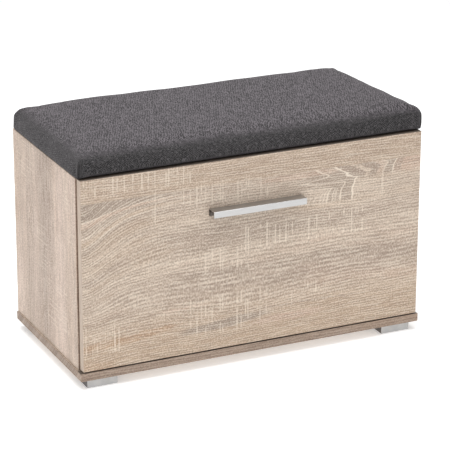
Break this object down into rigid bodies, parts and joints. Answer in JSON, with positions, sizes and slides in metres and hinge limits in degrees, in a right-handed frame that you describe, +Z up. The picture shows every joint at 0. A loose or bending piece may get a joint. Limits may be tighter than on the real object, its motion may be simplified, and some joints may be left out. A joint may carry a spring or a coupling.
{
  "type": "entryway bench",
  "caption": "Low oak-finish shoe bench with a grey upholstered seat, a fall-front flap with a bar handle that opens on a storage compartment, and low block feet.",
  "frame": {"origin": "centre of the overall footprint on the floor, handle included", "axes": "+X to the right along the bench as seen from the front, +Y from the front to the back, +Z up"},
  "size_m": [0.706, 0.3626, 0.454],
  "materials": {
    "oak_decor": "matte printed oak grain",
    "hdf_back": "matte",
    "raw_chipboard": "raw",
    "grey_fabric": "woven melange",
    "silver_plastic": "satin",
    "satin_aluminium": "satin",
    "nickel_steel": "nickel plated",
    "zinc_steel": "zinc plated",
    "white_plastic": "matte"
  },
  "bodies": {
    "carcass": {"back_panel": "hdf_back", "base_panel": "oak_decor", "body_screw_back_left": "zinc_steel", "body_screw_back_right": "zinc_steel", "body_screw_front_left": "zinc_steel", "body_screw_front_right": "zinc_steel", "cam_lock_back_left": "zinc_steel", "cam_lock_back_right": "zinc_steel", "cam_lock_front_left": "zinc_steel", "cam_lock_front_right": "zinc_steel", "foot_back_left": "silver_plastic", "foot_back_right": "silver_plastic", "foot_front_left": "silver_plastic", "foot_front_right": "silver_plastic", "foot_screw_back_left": "zinc_steel", "foot_screw_back_right": "zinc_steel", "foot_screw_front_left": "zinc_steel", "foot_screw_front_right": "zinc_steel", "guide_screw_lower": "zinc_steel", "guide_screw_upper": "zinc_steel", "hinge_arm_left": "nickel_steel", "hinge_arm_right": "nickel_steel", "hinge_plate_left": "nickel_steel", "hinge_plate_right": "nickel_steel", "inner_shelf": "oak_decor", "magnetic_catch": "white_plastic", "plate_screw_left_inner": "zinc_steel", "plate_screw_left_outer": "zinc_steel", "plate_screw_right_inner": "zinc_steel", "plate_screw_right_outer": "zinc_steel", "seat_board": "raw_chipboard", "seat_cushion": "grey_fabric", "seat_screw_back_left": "zinc_steel", "seat_screw_back_right": "zinc_steel", "seat_screw_front_left": "zinc_steel", "seat_screw_front_right": "zinc_steel", "shelf_pin_back_left": "zinc_steel", "shelf_pin_back_right": "zinc_steel", "shelf_pin_front_left": "zinc_steel", "shelf_pin_front_right": "zinc_steel", "side_panel_left": "oak_decor", "side_panel_right": "oak_decor", "stay_guide": "white_plastic", "top_rail_back": "oak_decor", "top_rail_front": "oak_decor"},
    "flap": {"flap_front": "oak_decor", "handle": "satin_aluminium", "handle_screw_left": "zinc_steel", "handle_screw_right": "zinc_steel", "hinge_cup_left": "nickel_steel", "hinge_cup_right": "nickel_steel", "hinge_pin_left": "zinc_steel", "hinge_pin_right": "zinc_steel", "stay_quadrant": "nickel_steel", "stay_screw_lower": "zinc_steel", "stay_screw_upper": "zinc_steel", "strike_plate": "zinc_steel"}
  },
  "joints": [
    {"name": "flap_hinge", "type": "hinge", "parent": "carcass", "child": "flap", "pos_m": [0, -0.15375, 0.0425], "axis": [1, 0, 0], "range_deg": [0, 70]}
  ]
}
